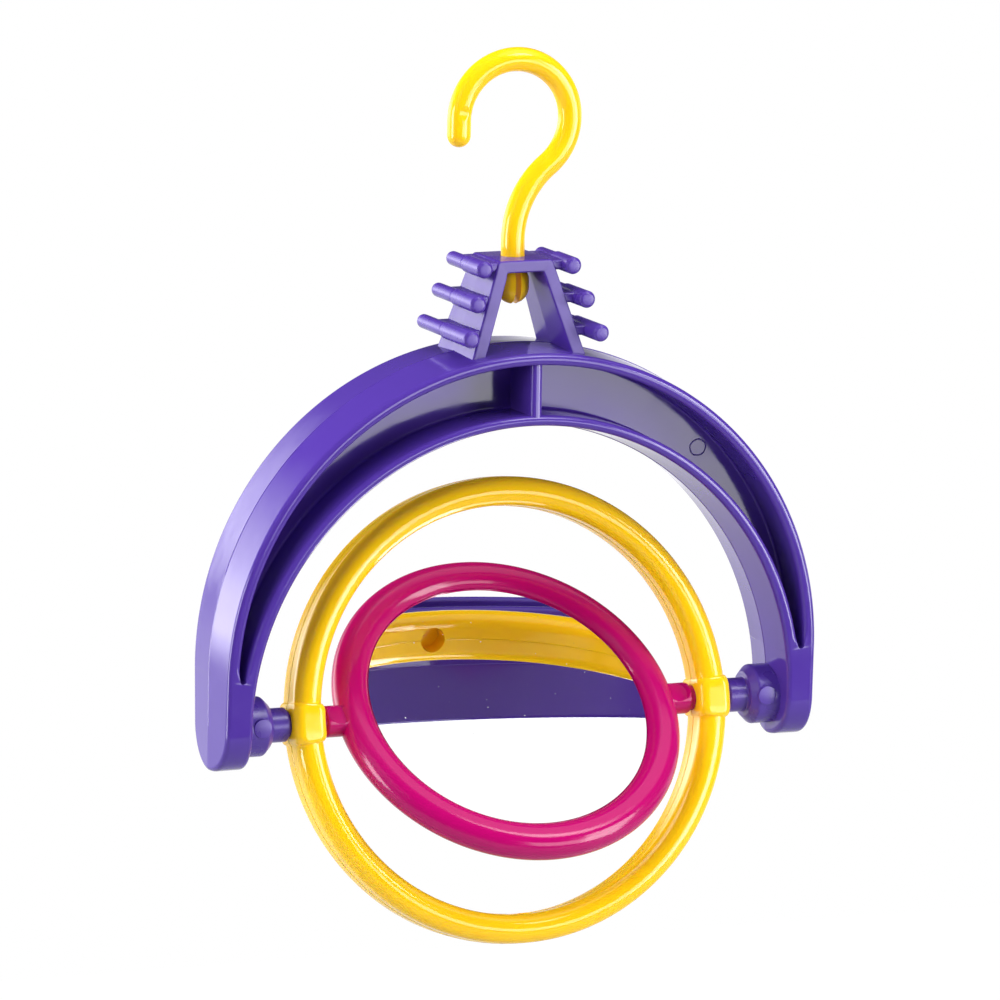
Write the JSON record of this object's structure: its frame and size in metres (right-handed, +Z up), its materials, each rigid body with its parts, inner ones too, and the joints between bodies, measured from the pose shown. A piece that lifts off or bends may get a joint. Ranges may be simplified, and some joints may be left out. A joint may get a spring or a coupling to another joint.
{
  "type": "hanging bird mirror",
  "caption": "Hanging bird cage toy: a hook carries a crescent arch, a ring spins on pins between the arch's feet, and a round two-sided mirror spins inside the ring.",
  "frame": {"origin": "inside the top of the hook's loop, where the cage bar sits", "axes": "+X along the pivots, to the right as seen from the front; +Y from front to back; +Z up"},
  "size_m": [0.1152, 0.0492, 0.162],
  "materials": {
    "yellow_plastic": "glossy moulded",
    "purple_plastic": "glossy moulded, spark-textured on the hanger's front",
    "magenta_plastic": "glossy moulded",
    "silvered_mirror": "silvered, fine dust"
  },
  "bodies": {
    "hook": {"hook": "yellow_plastic"},
    "arch": {"arch_frame": "purple_plastic"},
    "ring": {"ring_front": "yellow_plastic", "ring_rear": "yellow_plastic"},
    "mirror": {"rim_front": "magenta_plastic", "rim_rear": "magenta_plastic", "mirror_front": "silvered_mirror", "mirror_rear": "silvered_mirror"}
  },
  "joints": [
    {"name": "hook_swivel", "type": "hinge", "parent": "hook", "child": "arch", "pos_m": [0, 0, -0.03427], "axis": [0, 0, 1], "continuous": true},
    {"name": "ring_spin", "type": "hinge", "parent": "arch", "child": "ring", "pos_m": [0, 0, -0.11587], "axis": [1, 0, 0], "continuous": true},
    {"name": "mirror_spin", "type": "hinge", "parent": "ring", "child": "mirror", "pos_m": [0, 0, -0.11587], "axis": [1, 0, 0], "continuous": true}
  ]
}
